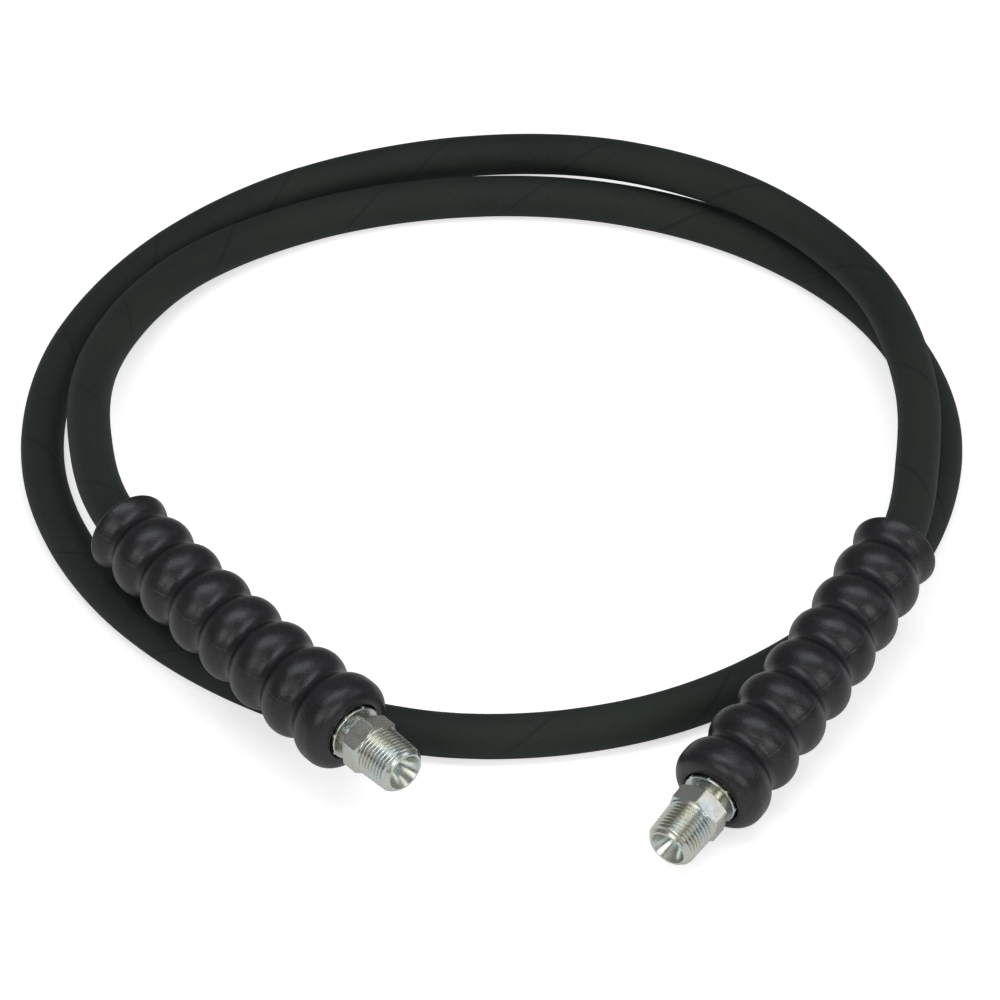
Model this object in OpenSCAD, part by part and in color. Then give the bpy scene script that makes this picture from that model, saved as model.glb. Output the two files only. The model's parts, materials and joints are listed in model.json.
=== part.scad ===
// Two-braid hydraulic hose assembly, lying in a loose coil of nearly two turns.
// Each end has a crimped ferrule, a stem with a hexagon and a tapered male pipe
// thread, and a bulged rubber sleeve that slides back along the hose.
//
// Frame: millimetres, +Z up, origin on the floor under the middle of the object.
// End 0 is end A and end 1 is end B. Along an end, distances are measured back
// from its nose, the mouth of the thread.

/* [Coil] */
// Radius of the coil, to the middle of the hose
coil_r = 150; // [145:1:165]

/* [Hose] */
// Bore of the rubber inner tube
hose_bore = 6.4; // [5:0.1:7]
// Wall of the rubber inner tube
tube_wall = 1.1; // [0.9:0.1:1.5]
// Thickness of each wire braid
braid_wall = 0.65; // [0.4:0.05:0.8]
// Thickness of the rubber between the two braids
interlayer_wall = 0.3; // [0.2:0.05:0.6]
// Wall of the rubber cover
cover_wall = 1.6; // [1.2:0.1:1.8]

/* [Stem] */
// Crest diameter of the thread at its small end
thread_nose_d = 16.67; // [15.5:0.01:18]
// Length from the nose to the hexagon
thread_len = 14; // [10:0.5:18]
// Threads in one inch
threads_per_inch = 18; // [14:1:20]
// Width of the flat on each thread crest and root
thread_flat = 0.15; // [0.1:0.05:0.25]
// Mouth diameter of the conical seat in the nose
seat_d = 12.5; // [10:0.1:13]
// Included angle of the conical seat
seat_angle = 60; // [50:1:90]
// Bore through the stem
stem_bore = 4.4; // [3:0.1:4.6]
// Width of the hexagon across its flats
hex_af = 17.5; // [16:0.1:20]
// Length of the hexagon
hex_len = 7; // [5:0.5:12]
// Diameter to which the hexagon's corners are turned
hex_turned_d = 20; // [18:0.1:22]
// Length of the bare neck between hexagon and ferrule
neck_len = 3; // [0.5:0.5:4]
// Diameter of the neck that the ferrule locks on
neck_d = 12.8; // [10:0.1:13]
// Length of the tail inside the hose
tail_len = 33.5; // [20:0.5:35]
// Depth of the grooves in the tail
barb_depth = 0.25; // [0.1:0.05:0.3]
// Number of grooves in the tail
barbs = 6; // [3:1:8]

/* [Ferrule] */
// Length of the ferrule
ferrule_len = 37; // [34:0.5:44]
// Wall of the ferrule round the hose
ferrule_wall = 1.95; // [1.5:0.05:2.5]
// Thickness of the ferrule's front wall
ferrule_front = 2.5; // [1.5:0.1:4]
// Number of crimp ridges round the ferrule
crimp_ridges = 8; // [6:1:10]
// Height of a crimp ridge over the ferrule
ridge_height = 0.4; // [0.2:0.05:0.6]
// Radius of a crimp ridge's rounded back
ridge_round = 0.9; // [0.7:0.1:1.5]

/* [Sleeve] */
// Number of full bulges on the sleeve
bulges = 7; // [5:1:8]
// Distance from bulge to bulge
bulge_pitch = 16.7; // [14:0.1:18]
// Height of a bulge over the valleys beside it
bulge_height = 3.2; // [2:0.1:4]
// Extra radius of the front bulge over the rear one
front_swell = 1.6; // [0:0.1:2]
// Depth by which the bottom of each valley is filled
valley_fill = 0.85; // [0.5:0.05:1.2]
// Rubber outside the ferrule pocket's radius at the rearmost valley
sleeve_wall = 1.4; // [1:0.1:3]
// Corner radius of the front bulge
front_round = 6; // [4:0.5:7]
// Straight length in front of the first bulge's crown
front_flat = 2.35; // [1:0.05:4]
// Corner radius of the rear bead
bead_round = 1.3; // [0.5:0.1:2.5]
// Distance by which the rear bead's corner begins short of its crown
bead_short = 1.45; // [0:0.05:3]
// Widening of the bore at the rear mouth
mouth_flare = 1.6; // [0.3:0.1:1.8]
// Length of the widening at the rear mouth
mouth_flare_len = 7; // [1:0.5:10]
// Length of ferrule left bare in front of the sleeve
ferrule_show = 1; // [0.5:0.5:4]
// Distance that a sleeve slides back along the hose
slide_travel = 8; // [4:1:12]

/* [Fits] */
// Gap between sleeve and ferrule, and between sleeve and hose
sleeve_clear = 0.3; // [0.3:0.05:0.6]
// Radial gap of the fits: tail in hose, hose in ferrule, ferrule on neck
fit_clear = 0.05; // [0.02:0.01:0.1]

/* [Ends] */
// Distance of nose A from the coil's middle, beyond the coil's radius
nose_a_reach = 55.55; // [50:0.05:60]
// Direction in which nose A lies from the coil's middle, seen from above
nose_a_place = 262.31; // [260:0.01:265]
// Height of nose A over the hose that lies flat
nose_a_height = 22.3; // [21:0.1:30]
// Distance of nose B from the coil's middle, beyond the coil's radius
nose_b_reach = 79.32; // [75:0.01:85]
// Direction in which nose B lies from the coil's middle, seen from above
nose_b_place = 284.21; // [282:0.01:287]
// Height of nose B over the hose that lies flat
nose_b_height = 6.5; // [6.5:0.1:12]
// Direction in which nose A points, seen from above
nose_a_azimuth = 311.3; // [300:0.1:320]
// Direction in which nose B points, seen from above
nose_b_azimuth = 234.7; // [225:0.1:245]
// Rise of end A towards its nose
nose_a_rise = -1; // [-4:0.1:4]
// Rise of end B towards its nose
nose_b_rise = -8; // [-9:0.1:0]
// Turn of stem A about its own axis
stem_a_turn = 3; // [-30:0.5:30]
// Turn of stem B about its own axis
stem_b_turn = -12; // [-30:0.5:30]
// Turn of ferrule A about its own axis
ferrule_a_turn = 0; // [-22.5:0.5:22.5]
// Turn of ferrule B about its own axis
ferrule_b_turn = 22.5; // [-22.5:0.5:22.5]
// Turn of sleeve A at each valley behind the ferrule
bend_a_turn = -1.15; // [-2:0.05:0]
// Turn of sleeve B at each valley behind the ferrule
bend_b_turn = 1.7; // [0:0.05:2]
// Change of rise of sleeve B at each valley behind the ferrule
bend_b_lift = 0.6; // [-1:0.1:1]

/* [Hidden] */

A = 0;
B = 1;

// Round surfaces and the eight-sided hose.
$fn = 72;
hose_sides = 8;
side_angle = 360 / hose_sides;

// Radii of the hose's layers, from the bore outwards. The bore's flats lie on its true
// radius, and every other layer's corners do.
bore_r = hose_bore / 2 / cos(side_angle / 2);
tube_r = hose_bore / 2 + tube_wall;
braid_1_r = tube_r + braid_wall;
interlayer_r = braid_1_r + interlayer_wall;
braid_2_r = interlayer_r + braid_wall;
hose_r = braid_2_r + cover_wall;

// The hose lies on a flat cut into its underside, a tenth of its diameter deep.
flat_depth = hose_r / 5;
lie_z = hose_r - flat_depth;

// Distances back from a nose.
hex_s = thread_len;
neck_s = hex_s + hex_len;
ferrule_s = neck_s + neck_len;
hose_s = ferrule_s + ferrule_front;
ferrule_end_s = ferrule_s + ferrule_len;
sleeve_s = ferrule_s + ferrule_show;
front_len = front_flat + front_round;
bead_len = bulge_pitch / 2 - bead_short + bead_round;
valley_0_s = sleeve_s + front_len + bulge_pitch / 2;

// Thread: sixty degree flanks on a taper of one in sixteen.
thread_pitch = 25.4 / threads_per_inch;
thread_taper = 1 / 32;
flank_len = thread_pitch / 2 - thread_flat;
thread_depth = flank_len / tan(30);
nose_chamfer = 0.25;
nose_chamfer_len = 0.5;
thread_turns = floor((thread_len - nose_chamfer_len) / thread_pitch);
function crest_r(s) = thread_nose_d / 2 + s * thread_taper;
function root_r(s) = crest_r(s) - thread_depth;

// Stem tail and neck.
tail_r = hose_bore / 2 - 2 * fit_clear;
neck_r = neck_d / 2;
barb_pitch = tail_len / (barbs + 1);
hex_chamfer = 1.3;
hex_chamfer_len = 0.65;

// Ferrule and the pocket that it has in the sleeve. Its ridges begin a little behind the
// front and end a little short of the rear.
ferrule_bore_r = hose_r + fit_clear;
ferrule_r = ferrule_bore_r + ferrule_wall;
ferrule_chamfer = 0.4;
pocket_r = ferrule_r + ridge_height + sleeve_clear;
ridge_inset = 2;
ridge_show = 0.4;
ridge_x = ferrule_r + ridge_height - ridge_round;

// How far a cut runs past what it cuts.
cut_over = 1;

// A bulge or a stretch of the bore stops a little short of the middle of a valley, inside
// the band round the outside and the relief in the bore that join it to the next one. The
// starting lines of bands and reliefs are a quarter turn away from those of the bulges.
valley_inset = 0.5;
band_half = valley_inset + valley_fill;
seam_turn = 90;
relief_half = 3 * valley_inset;
relief_depth = 0.1;
arc_steps = 10;

// Bulges: bulge 0 is the front one, and the rear bead has the number after the last.
rear_r = pocket_r + sleeve_wall + bulge_height;
crease_depth = bulge_height + valley_fill;
bulge_arc = (pow(bulge_pitch / 2, 2) + pow(crease_depth, 2)) / (2 * crease_depth);
bulge_half = bulge_pitch / 2 - valley_inset;
bulge_angle = asin(bulge_half / bulge_arc);
function bulge_r(i) = rear_r + front_swell * pow(1 - i / bulges, 2);
function valley_r(i) = bulge_r(i + 0.5) - bulge_height;

// Where the ends lie. The middle of the coil is off the origin, because both ends reach
// forward of it.
coil_x = 0.1;
coil_y = 33.9;
reach = [nose_a_reach, nose_b_reach];
place = [nose_a_place, nose_b_place];
height = [nose_a_height, nose_b_height];
azimuth = [nose_a_azimuth, nose_b_azimuth];
rise = [nose_a_rise, nose_b_rise];
turn = [bend_a_turn, bend_b_turn];
lift = [0, bend_b_lift];
stem_turn = [stem_a_turn, stem_b_turn];
ferrule_turn = [ferrule_a_turn, ferrule_b_turn];

// Direction towards the nose, after k bends counted from the ferrule back.
function aim_azimuth(e, k) = azimuth[e] + k * turn[e];
function aim_rise(e, k) = rise[e] + k * lift[e];
function polar(r, angle) = [r * cos(angle), r * sin(angle)];
function from_middle(angle, beyond, over) = concat(
    [coil_x, coil_y] + polar(coil_r + beyond, angle),
    [lie_z + over]
);
nose_xyz = [for (e = [A, B]) from_middle(place[e], reach[e], height[e])];
function aim(e, k) = concat(
    polar(cos(aim_rise(e, k)), aim_azimuth(e, k)),
    [sin(aim_rise(e, k))]
);

// Middle of valley i of a sleeve, and the middle of the sleeve's rear mouth.
function valley_xyz(e, i) = i == 0
    ? nose_xyz[e] - valley_0_s * aim(e, 0)
    : valley_xyz(e, i - 1) - bulge_pitch * aim(e, i - 1);
function mouth_xyz(e) = valley_xyz(e, bulges - 1) - bead_len * aim(e, bulges - 1);
function sleeve_bend(e, k) = acos(min(1, aim(e, 0) * aim(e, k)));

// The hose's way round from sleeve A to sleeve B, clockwise seen from above. Each point is
// an angle round the middle of the coil, a distance beyond the coil's radius, and a height
// over the hose that lies flat, both in diameters of the hose.
LOOSE_ROUTE = [
    [192, -0.6, 1.23], [168, -0.73, 0.63], [144, -0.83, 0.27], [120, -1.07, 0.03], [96, -1.23, 0],
    [72, -1.03, 0], [48, -0.57, 0], [24, 0, 0], [0, 0.4, 0], [-24, 0.53, 0],
    [-48, 0.6, 0], [-72, 0.77, 0], [-96, 0.8, 0], [-120, 0.57, 0], [-144, 0.5, 0],
    [-168, 0.47, 0], [-192, 0.37, 0], [-216, 0.23, 0], [-240, 0.23, 0], [-264, 0.17, 0.17],
    [-288, -0.33, 0.8], [-312, -0.43, 1.1], [-336, -0.27, 1.1], [-360, -0.2, 1.2], [-377, 0.13, 1.43]
];
hose_d = 2 * hose_r;
function route_xyz(p) = from_middle(p[0], p[1] * hose_d, p[2] * hose_d);
loose_points = concat(
    [mouth_xyz(A)],
    [for (p = LOOSE_ROUTE) route_xyz(p)],
    [mouth_xyz(B)]
);

// A smooth curve through the loose points, with two rings to each stretch of it.
rings_per_stretch = 2;
last_loose = len(loose_points) - 1;
function unit(v) = v / norm(v);
function stretch(i) = loose_points[i + 1] - loose_points[i];
function slope(i) =
    i == 0 ? -aim(A, bulges - 1) :
    i == last_loose ? aim(B, bulges - 1) :
    (unit(stretch(i - 1)) * norm(stretch(i)) + unit(stretch(i)) * norm(stretch(i - 1)))
        / (norm(stretch(i)) + norm(stretch(i - 1)));
function on_stretch(i, t) =
    loose_points[i] * (2 * pow(t, 3) - 3 * pow(t, 2) + 1)
    + slope(i) * norm(stretch(i)) * (pow(t, 3) - 2 * pow(t, 2) + t)
    + loose_points[i + 1] * (3 * pow(t, 2) - 2 * pow(t, 3))
    + slope(i + 1) * norm(stretch(i)) * (pow(t, 3) - pow(t, 2));

// The whole centreline, from the hose's cut end in ferrule A to the one in ferrule B.
function in_sleeve(e) = [for (i = [1 : bulges - 1]) valley_xyz(e, i)];
function cut_end(e) = nose_xyz[e] - hose_s * aim(e, 0);
sleeve_b_points = in_sleeve(B);
centreline = concat(
    [cut_end(A)],
    in_sleeve(A),
    [
        for (i = [0 : last_loose - 1])
            for (j = [0 : rings_per_stretch - 1])
                on_stretch(i, j / rings_per_stretch)
    ],
    [mouth_xyz(B)],
    [for (i = [len(sleeve_b_points) - 1 : -1 : 0]) sleeve_b_points[i]],
    [cut_end(B)]
);
ring_count = len(centreline);
last_ring = ring_count - 1;

// One ring of the hose: its sides keep level all the way, and it never goes below the floor.
function along(i) =
    i == 0 ? unit(centreline[1] - centreline[0]) :
    i == last_ring ? unit(centreline[last_ring] - centreline[last_ring - 1]) :
    unit(unit(centreline[i] - centreline[i - 1]) + unit(centreline[i + 1] - centreline[i]));
function sideways(i) = unit(cross(along(i), [0, 0, 1]));
function upward(i) = cross(sideways(i), along(i));
function on_floor(p) = [p[0], p[1], max(0, p[2])];
function ring(i, r) = [
    for (k = [0 : hose_sides - 1])
        on_floor(
            centreline[i]
            + r * cos((k + 0.5) * side_angle) * sideways(i)
            + r * sin((k + 0.5) * side_angle) * upward(i)
        )
];
function skin(r) = [for (i = [0 : last_ring]) for (p = ring(i, r)) p];

// Triangles between the rings of a skin, and over the ring-shaped end faces.
inner_start = ring_count * hose_sides;
function corner(i, k, start) = start + i * hose_sides + k % hose_sides;
function skin_faces(start, outward) = [
    for (i = [0 : last_ring - 1])
        for (k = [0 : hose_sides - 1])
            for (half = [0, 1])
                let (
                    a = corner(i, k, start),
                    b = corner(i, k + 1, start),
                    c = corner(i + 1, k + 1, start),
                    d = corner(i + 1, k, start),
                    face = half == 0 ? [a, c, b] : [a, d, c]
                )
                outward ? face : [face[2], face[1], face[0]]
];
function end_faces(i, forward) = [
    for (k = [0 : hose_sides - 1])
        for (half = [0, 1])
            let (
                a = corner(i, k, 0),
                b = corner(i, k + 1, 0),
                c = corner(i, k + 1, inner_start),
                d = corner(i, k, inner_start),
                face = half == 0 ? [a, b, c] : [a, c, d]
            )
            forward ? [face[2], face[1], face[0]] : face
];
tube_faces = concat(
    skin_faces(0, true),
    skin_faces(inner_start, false),
    end_faces(0, false),
    end_faces(last_ring, true)
);

// Least gap between turns of the hose. Rings less than a few diameters apart along the
// hose are neighbours and don't count.
neighbour_len = 4 * hose_d;
function way_between(i, j) = i >= j ? 0 : norm(centreline[i + 1] - centreline[i]) + way_between(i + 1, j);
function point_to_line(p, a, b) =
    let (t = max(0, min(1, (p - a) * (b - a) / ((b - a) * (b - a)))))
    norm(p - a - t * (b - a));
turn_gaps = [
    for (i = [0 : last_ring])
        for (j = [i + 2 : 1 : last_ring - 1])
            if (norm(centreline[i] - centreline[j]) < neighbour_len && way_between(i, j) > neighbour_len)
                min(
                    point_to_line(centreline[i], centreline[j], centreline[j + 1]),
                    point_to_line(centreline[j], centreline[i], centreline[min(i + 1, last_ring)])
                ) - hose_d
];
echo(least_gap_between_turns = min(turn_gaps));
echo(hose_length = way_between(0, last_ring));

// Puts a piece that is drawn along +Z, with its nose at z = 0, on end e.
module at_nose(e) {
    translate(nose_xyz[e])
        rotate([0, 90 - rise[e], azimuth[e]])
            children();
}

// Puts a piece at a point of a sleeve's axis, with +Z towards the nose after k bends.
module on_axis(e, xyz, k) {
    translate(xyz)
        rotate([0, 90 - aim_rise(e, k), aim_azimuth(e, k)])
            children();
}

module layer(inner_r, outer_r) {
    polyhedron(points = concat(skin(outer_r), skin(inner_r)), faces = tube_faces);
}

module inner_tube() {
    color("#1f2022")
        layer(bore_r, tube_r);
}

module inner_wire_braid() {
    color("#b39b62")
        layer(tube_r, braid_1_r);
}

module braid_interlayer() {
    color("#26282a")
        layer(braid_1_r, interlayer_r);
}

module outer_wire_braid() {
    color("#b39b62")
        layer(interlayer_r, braid_2_r);
}

module hose_cover() {
    color("#2e3431")
        layer(braid_2_r, hose_r);
}

// Outline of the turned parts of a stem: thread, neck and grooved tail.
module stem_section() {
    thread_points = [
        for (i = [0 : thread_turns - 1])
            let (s = nose_chamfer_len + i * thread_pitch)
            each [
                [root_r(s), -s],
                [crest_r(s + flank_len), -s - flank_len],
                [crest_r(s + flank_len + thread_flat), -s - flank_len - thread_flat],
                [root_r(s + thread_pitch - thread_flat), -s - thread_pitch + thread_flat]
            ]
    ];
    tail_points = [
        for (i = [1 : barbs])
            let (s = hose_s + i * barb_pitch)
            each [
                [tail_r, -s + barb_pitch / 2],
                [tail_r - barb_depth, -s + barb_pitch / 2],
                [tail_r, -s]
            ]
    ];
    polygon(concat(
        [[0, 0], [root_r(0) - nose_chamfer, 0]],
        thread_points,
        [
            [root_r(hex_s), -hex_s],
            [root_r(hex_s), -neck_s],
            [neck_r, -neck_s],
            [neck_r, -hose_s],
            [tail_r, -hose_s]
        ],
        tail_points,
        [[tail_r, -hose_s - tail_len], [0, -hose_s - tail_len]]
    ));
}

module hexagon() {
    corner_r = hex_af / 2 / cos(30);
    turned_r = hex_turned_d / 2;
    intersection() {
        cylinder(h = hex_len, r = corner_r, $fn = 6);
        rotate_extrude()
            polygon([
                [0, 0],
                [turned_r - hex_chamfer, 0],
                [turned_r, hex_chamfer_len],
                [turned_r, hex_len - hex_chamfer_len],
                [turned_r - hex_chamfer, hex_len],
                [0, hex_len]
            ]);
    }
}

module stem(e) {
    seat_depth = (seat_d - stem_bore) / 2 / tan(seat_angle / 2);
    color("#c9ccc4")
        at_nose(e)
            difference() {
                union() {
                    rotate_extrude()
                        stem_section();
                    translate([0, 0, -neck_s])
                        rotate([0, 0, stem_turn[e]])
                            hexagon();
                }
                translate([0, 0, -hose_s - tail_len - cut_over])
                    cylinder(h = hose_s + tail_len + 2 * cut_over, r = stem_bore / 2);
                translate([0, 0, -seat_depth])
                    rotate_extrude()
                        polygon([
                            [0, 0],
                            [stem_bore / 2, 0],
                            [seat_d / 2, seat_depth],
                            [seat_d / 2, seat_depth + cut_over],
                            [0, seat_depth + cut_over]
                        ]);
            }
}

module ferrule(e) {
    color("#b9bcb6")
        at_nose(e)
            difference() {
                union() {
                    translate([0, 0, -ferrule_end_s])
                        rotate_extrude()
                            polygon([
                                [0, 0],
                                [ferrule_r - ferrule_chamfer, 0],
                                [ferrule_r, ferrule_chamfer],
                                [ferrule_r, ferrule_len - ferrule_chamfer],
                                [ferrule_r - ferrule_chamfer, ferrule_len],
                                [0, ferrule_len]
                            ]);
                    for (k = [0 : crimp_ridges - 1])
                        rotate([0, 0, (k + 0.5) * 360 / crimp_ridges + ferrule_turn[e]])
                            translate([ridge_x, 0, ridge_inset - ferrule_end_s])
                                cylinder(h = ferrule_len - ridge_inset - ridge_show, r = ridge_round);
                }
                translate([0, 0, -ferrule_end_s - cut_over])
                    cylinder(h = ferrule_len - ferrule_front + cut_over, r = ferrule_bore_r);
                translate([0, 0, -hose_s - cut_over])
                    cylinder(h = ferrule_front + 2 * cut_over, r = neck_r + fit_clear);
            }
}

// Points of an arc of the given radius about a middle point, from one angle to another.
function arc_points(middle, radius, from, to) = [
    for (k = [0 : arc_steps])
        middle + polar(radius, from + (to - from) * k / arc_steps)
];

// Outline of one bulge about its crown at z = 0. It stops a little short of the middle of
// the valleys beside it, inside the bands that fill them.
module bulge_section(r) {
    polygon(concat(
        [[0, -bulge_half]],
        arc_points([r - bulge_arc, 0], bulge_arc, -bulge_angle, bulge_angle),
        [[0, bulge_half]]
    ));
}

// Outline of the bulge at an end of the sleeve: half a bulge, and then a round corner that
// begins at the given height over the crown, or below it.
module end_section(r, corner_z, round) {
    arc_end = asin(min(0, corner_z) / bulge_arc);
    corner_r = r - bulge_arc * (1 - cos(arc_end));
    polygon(concat(
        [[0, -bulge_half]],
        arc_points([r - bulge_arc, 0], bulge_arc, -bulge_angle, arc_end),
        arc_points([corner_r - round, corner_z], round, 0, 90),
        [[0, corner_z + round]]
    ));
}

// The outside of a sleeve. A band fills the bottom of each valley, where the sleeve bends.
module sleeve_outside(e) {
    on_axis(e, valley_xyz(e, 0) + bulge_pitch / 2 * aim(e, 0), 0)
        rotate_extrude()
            end_section(bulge_r(0), front_flat, front_round);
    for (i = [0 : bulges - 1])
        on_axis(e, valley_xyz(e, i), max(0, i - 1))
            rotate([0, 0, seam_turn])
                translate([0, 0, -band_half])
                    cylinder(h = 2 * band_half, r = valley_r(i));
    for (i = [1 : bulges - 1])
        on_axis(e, (valley_xyz(e, i - 1) + valley_xyz(e, i)) / 2, i - 1)
            rotate_extrude()
                bulge_section(bulge_r(i));
    on_axis(e, valley_xyz(e, bulges - 1) - bulge_pitch / 2 * aim(e, bulges - 1), bulges - 1)
        rotate([180, 0, 0])
            rotate_extrude()
                end_section(bulge_r(bulges), -bead_short, bead_round);
}

// Radius of the bore behind valley i, wide enough for the sleeve to slide back in a
// straight line over the bent hose.
function bore_after(e, i) = hose_r + sleeve_clear + slide_travel * sin(sleeve_bend(e, i + 1));

// The hollow of a sleeve: the ferrule's pocket, then the bore from bend to bend, and the
// flared mouth.
module sleeve_hollow(e) {
    pocket_len = ferrule_end_s + 2 * sleeve_clear - sleeve_s;
    at_nose(e)
        translate([0, 0, -sleeve_s - pocket_len])
            cylinder(h = pocket_len + cut_over, r = pocket_r);
    for (i = [1 : bulges - 1])
        on_axis(e, valley_xyz(e, i), i)
            rotate([0, 0, seam_turn])
                translate([0, 0, -relief_half])
                    cylinder(h = 2 * relief_half, r = bore_after(e, i) + relief_depth);
    for (i = [1 : bulges - 2])
        on_axis(e, valley_xyz(e, i + 1), i)
            translate([0, 0, valley_inset])
                cylinder(h = bulge_pitch - 2 * valley_inset, r = bore_after(e, i));
    last_r = bore_after(e, bulges - 1);
    straight_end = max(bead_len, mouth_flare_len + 2 * valley_inset) - valley_inset;
    on_axis(e, mouth_xyz(e), bulges - 1)
        rotate_extrude()
            polygon([
                [0, -cut_over],
                [last_r + mouth_flare, -cut_over],
                [last_r + mouth_flare, 0],
                [last_r, mouth_flare_len],
                [last_r, straight_end],
                [0, straight_end]
            ]);
}

module grip(e) {
    color("#1d1e20")
        difference() {
            sleeve_outside(e);
            sleeve_hollow(e);
        }
}

inner_tube();
inner_wire_braid();
braid_interlayer();
outer_wire_braid();
hose_cover();
ferrule(A);  // ferrule_a
ferrule(B);  // ferrule_b
stem(A);  // stem_a
stem(B);  // stem_b
grip(A);  // grip_a
grip(B);  // grip_b
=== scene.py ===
"""Looks of a two-braid hydraulic hose assembly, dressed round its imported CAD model.

Lengths are in metres and angles in degrees, in the CAD model's frame: +Z up, the floor at
z = 0. End A and end B are the hose's two ends, and distances along an end are measured back
from its nose, the mouth of the thread.
"""
import json
import math

import bmesh
import bpy
import numpy as np
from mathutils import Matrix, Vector


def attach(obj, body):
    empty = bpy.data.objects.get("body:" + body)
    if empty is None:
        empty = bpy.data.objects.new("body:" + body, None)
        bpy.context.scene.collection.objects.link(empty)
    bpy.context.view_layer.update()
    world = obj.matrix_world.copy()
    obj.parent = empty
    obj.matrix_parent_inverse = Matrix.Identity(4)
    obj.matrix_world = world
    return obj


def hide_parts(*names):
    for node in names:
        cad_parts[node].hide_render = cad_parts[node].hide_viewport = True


MM = 0.001

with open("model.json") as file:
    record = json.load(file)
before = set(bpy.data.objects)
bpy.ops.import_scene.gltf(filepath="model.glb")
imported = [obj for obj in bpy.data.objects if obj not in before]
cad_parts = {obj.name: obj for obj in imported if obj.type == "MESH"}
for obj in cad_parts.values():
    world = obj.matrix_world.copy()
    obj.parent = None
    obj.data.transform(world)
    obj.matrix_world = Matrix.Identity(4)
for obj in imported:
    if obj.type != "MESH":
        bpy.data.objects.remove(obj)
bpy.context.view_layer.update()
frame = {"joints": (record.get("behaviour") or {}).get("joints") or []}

# ---------------------------------------------------------------- sizes, as in the CAD model
HOSE_R = 7.5 * MM
LIE_Z = 6.0 * MM                # height of the centreline where the hose lies on the floor
BORE_R = 3.2 * MM
TUBE_R = 4.3 * MM
BRAID_1_R = 4.95 * MM
INTERLAYER_R = 5.25 * MM
BRAID_2_R = 5.9 * MM
HOSE_START = 26.5 * MM

THREAD_NOSE_R = 8.335 * MM
THREAD_LEN = 14 * MM
THREAD_PITCH = 25.4 / 18 * MM
THREAD_FLAT = 0.15 * MM
THREAD_TAPER = 1 / 32
THREAD_DEPTH = (THREAD_PITCH / 2 - THREAD_FLAT) / math.tan(math.radians(30))
SEAT_R = 6.25 * MM
SEAT_DEPTH = 7.01 * MM
STEM_BORE_R = 2.2 * MM
HEX_HALF = 8.75 * MM
HEX_LEN = 7 * MM
HEX_TURNED_R = 10 * MM
HEX_CHAMFER = 1.3 * MM
HEX_CHAMFER_LEN = 0.65 * MM
NECK_R = 6.4 * MM
TAIL_LEN = 33.5 * MM
TAIL_R = 3.1 * MM
BARB_DEPTH = 0.25 * MM
BARBS = 6

FERRULE_START = 24 * MM
FERRULE_LEN = 37 * MM
FERRULE_R = 9.5 * MM
FERRULE_BORE_R = 7.55 * MM
FERRULE_CHAMFER = 0.4 * MM
RIDGES = 8
RIDGE_HEIGHT = 0.4 * MM
RIDGE_STOP = 2 * MM             # from the ridges' rear ends to the ferrule's

SLEEVE_START = 25 * MM
BULGES = 7
BULGE_PITCH = 16.7 * MM
BULGE_HEIGHT = 3.2 * MM
REAR_R = 14.8 * MM
FRONT_SWELL = 1.6 * MM          # by which the front bulge's radius exceeds the rear one's
FRONT_FLAT = 2.35 * MM
FRONT_ROUND = 6 * MM
BEAD_ROUND = 1.3 * MM
BEAD_SHORT = 1.45 * MM          # by which the rear bead stops short of its crown
POCKET_R = 10.2 * MM
POCKET_END = 61.6 * MM
POCKET_BENDS = 2                # the bends that the ferrule's pocket covers
SLEEVE_CLEAR = 0.3 * MM
SLIDE_TRAVEL = frame["joints"][0]["range_m"][1]     # the same for both sleeves
MOUTH_FLARE = 1.6 * MM
MOUTH_FLARE_LEN = 7 * MM
FIRST_CROWN = SLEEVE_START + FRONT_FLAT + FRONT_ROUND
FIRST_VALLEY = FIRST_CROWN + BULGE_PITCH / 2
LAST_VALLEY = FIRST_VALLEY + (BULGES - 1) * BULGE_PITCH
BEAD_START = LAST_VALLEY + BULGE_PITCH / 2 - BEAD_SHORT
MOUTH = BEAD_START + BEAD_ROUND

# ---------------------------------------------------------------- where the hose and its ends lie
COIL_MIDDLE = (0.1 * MM, 33.9 * MM)
COIL_R = 150 * MM
A, B = 0, 1
BODY = ["grip_a", "grip_b"]


def from_middle(angle, beyond, over):
    """Point at an angle round the coil's middle, so far beyond the coil's radius and so high
    over the hose that lies flat."""
    angle = math.radians(angle)
    r = COIL_R + beyond
    return (
        COIL_MIDDLE[0] + r * math.cos(angle),
        COIL_MIDDLE[1] + r * math.sin(angle),
        LIE_Z + over,
    )


NOSE = np.array([
    from_middle(262.31, 55.55 * MM, 22.3 * MM),
    from_middle(284.21, 79.32 * MM, 6.5 * MM),
])
AZIMUTH = [311.3, 234.7]        # of the direction in which each nose points, from +X
RISE = [-1, -8]                 # of that direction over the level
TURN = [-1.15, 1.7]             # change of azimuth at each bend of the sleeve
LIFT = [0, 0.6]                 # change of rise at each bend of the sleeve
STEM_TURN = [3, -12]            # about the end's own axis
FERRULE_TURN = [0, 22.5]        # about the end's own axis

# The route between the sleeves: angle round the coil, distance beyond its radius and height
# over the hose that lies flat, both in diameters of the hose.
LOOSE_ROUTE = [
    (192, -0.6, 1.23), (168, -0.73, 0.63), (144, -0.83, 0.27), (120, -1.07, 0.03),
    (96, -1.23, 0), (72, -1.03, 0), (48, -0.57, 0), (24, 0, 0), (0, 0.4, 0), (-24, 0.53, 0),
    (-48, 0.6, 0), (-72, 0.77, 0), (-96, 0.8, 0), (-120, 0.57, 0), (-144, 0.5, 0),
    (-168, 0.47, 0), (-192, 0.37, 0), (-216, 0.23, 0), (-240, 0.23, 0), (-264, 0.17, 0.17),
    (-288, -0.33, 0.8), (-312, -0.43, 1.1), (-336, -0.27, 1.1), (-360, -0.2, 1.2),
    (-377, 0.13, 1.43),
]
HOSE_STEPS = 24                 # rows of the meshes to each stretch of the route
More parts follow.
